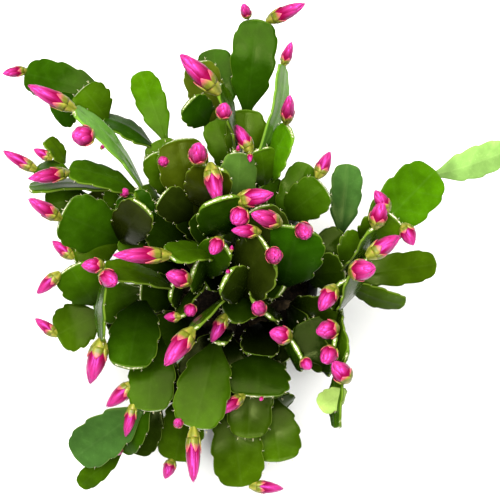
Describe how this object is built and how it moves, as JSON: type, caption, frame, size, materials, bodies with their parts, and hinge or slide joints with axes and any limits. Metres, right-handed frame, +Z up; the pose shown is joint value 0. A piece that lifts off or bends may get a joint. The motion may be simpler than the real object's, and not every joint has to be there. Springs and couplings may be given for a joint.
{
  "type": "potted easter cactus",
  "caption": "Easter cactus in a plain tapered pot: arching stems of flat scalloped joints tipped with pointed magenta buds.",
  "frame": {"origin": "centre of the underside of the pot, where its axis meets the surface it stands on", "axes": "+Z up along the pot's axis, -Y towards the viewer of the picture, +X to the viewer's right"},
  "size_m": [0.3179, 0.2744, 0.2252],
  "materials": {
    "pot": "satin",
    "soil": "matte",
    "cactus": "satin"
  },
  "bodies": {
    "root": {"pot": "pot", "soil": "soil", "stem_back": "cactus", "stem_back_left": "cactus", "stem_back_right": "cactus", "stem_front": "cactus", "stem_front_left": "cactus", "stem_front_right": "cactus", "stem_left": "cactus", "stem_left_high": "cactus", "stem_left_low": "cactus", "stem_middle": "cactus", "stem_right": "cactus", "stem_right_low": "cactus"}
  },
  "joints": []
}
